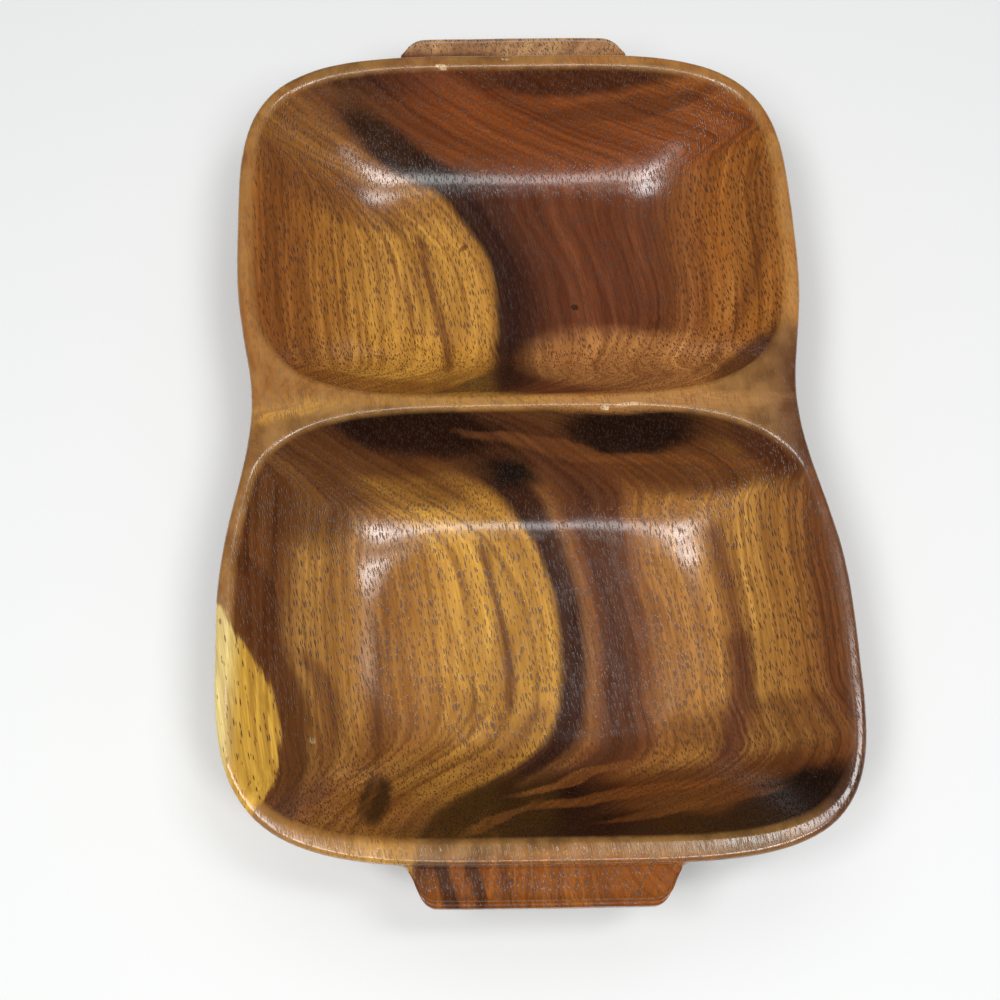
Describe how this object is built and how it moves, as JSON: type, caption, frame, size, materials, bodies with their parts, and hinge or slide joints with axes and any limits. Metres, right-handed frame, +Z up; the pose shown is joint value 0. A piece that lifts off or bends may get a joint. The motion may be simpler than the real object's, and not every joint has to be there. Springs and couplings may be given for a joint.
{
  "type": "divided serving bowl",
  "caption": "Shallow carved wooden serving tray with a small and a large hollow, a narrow septum between them, a waist beside it and a lug handle at each end.",
  "frame": {"origin": "centre of the bounding box's footprint, on the plane the flat base rests on", "axes": "+Z up out of the hollows; +Y along the length, from the large hollow towards the small one; +X to the right when the large hollow is nearest"},
  "size_m": [0.1982, 0.3028, 0.044],
  "materials": {
    "tray_wood": "satin"
  },
  "bodies": {
    "root": {"carved_tray": "tray_wood"}
  },
  "joints": []
}
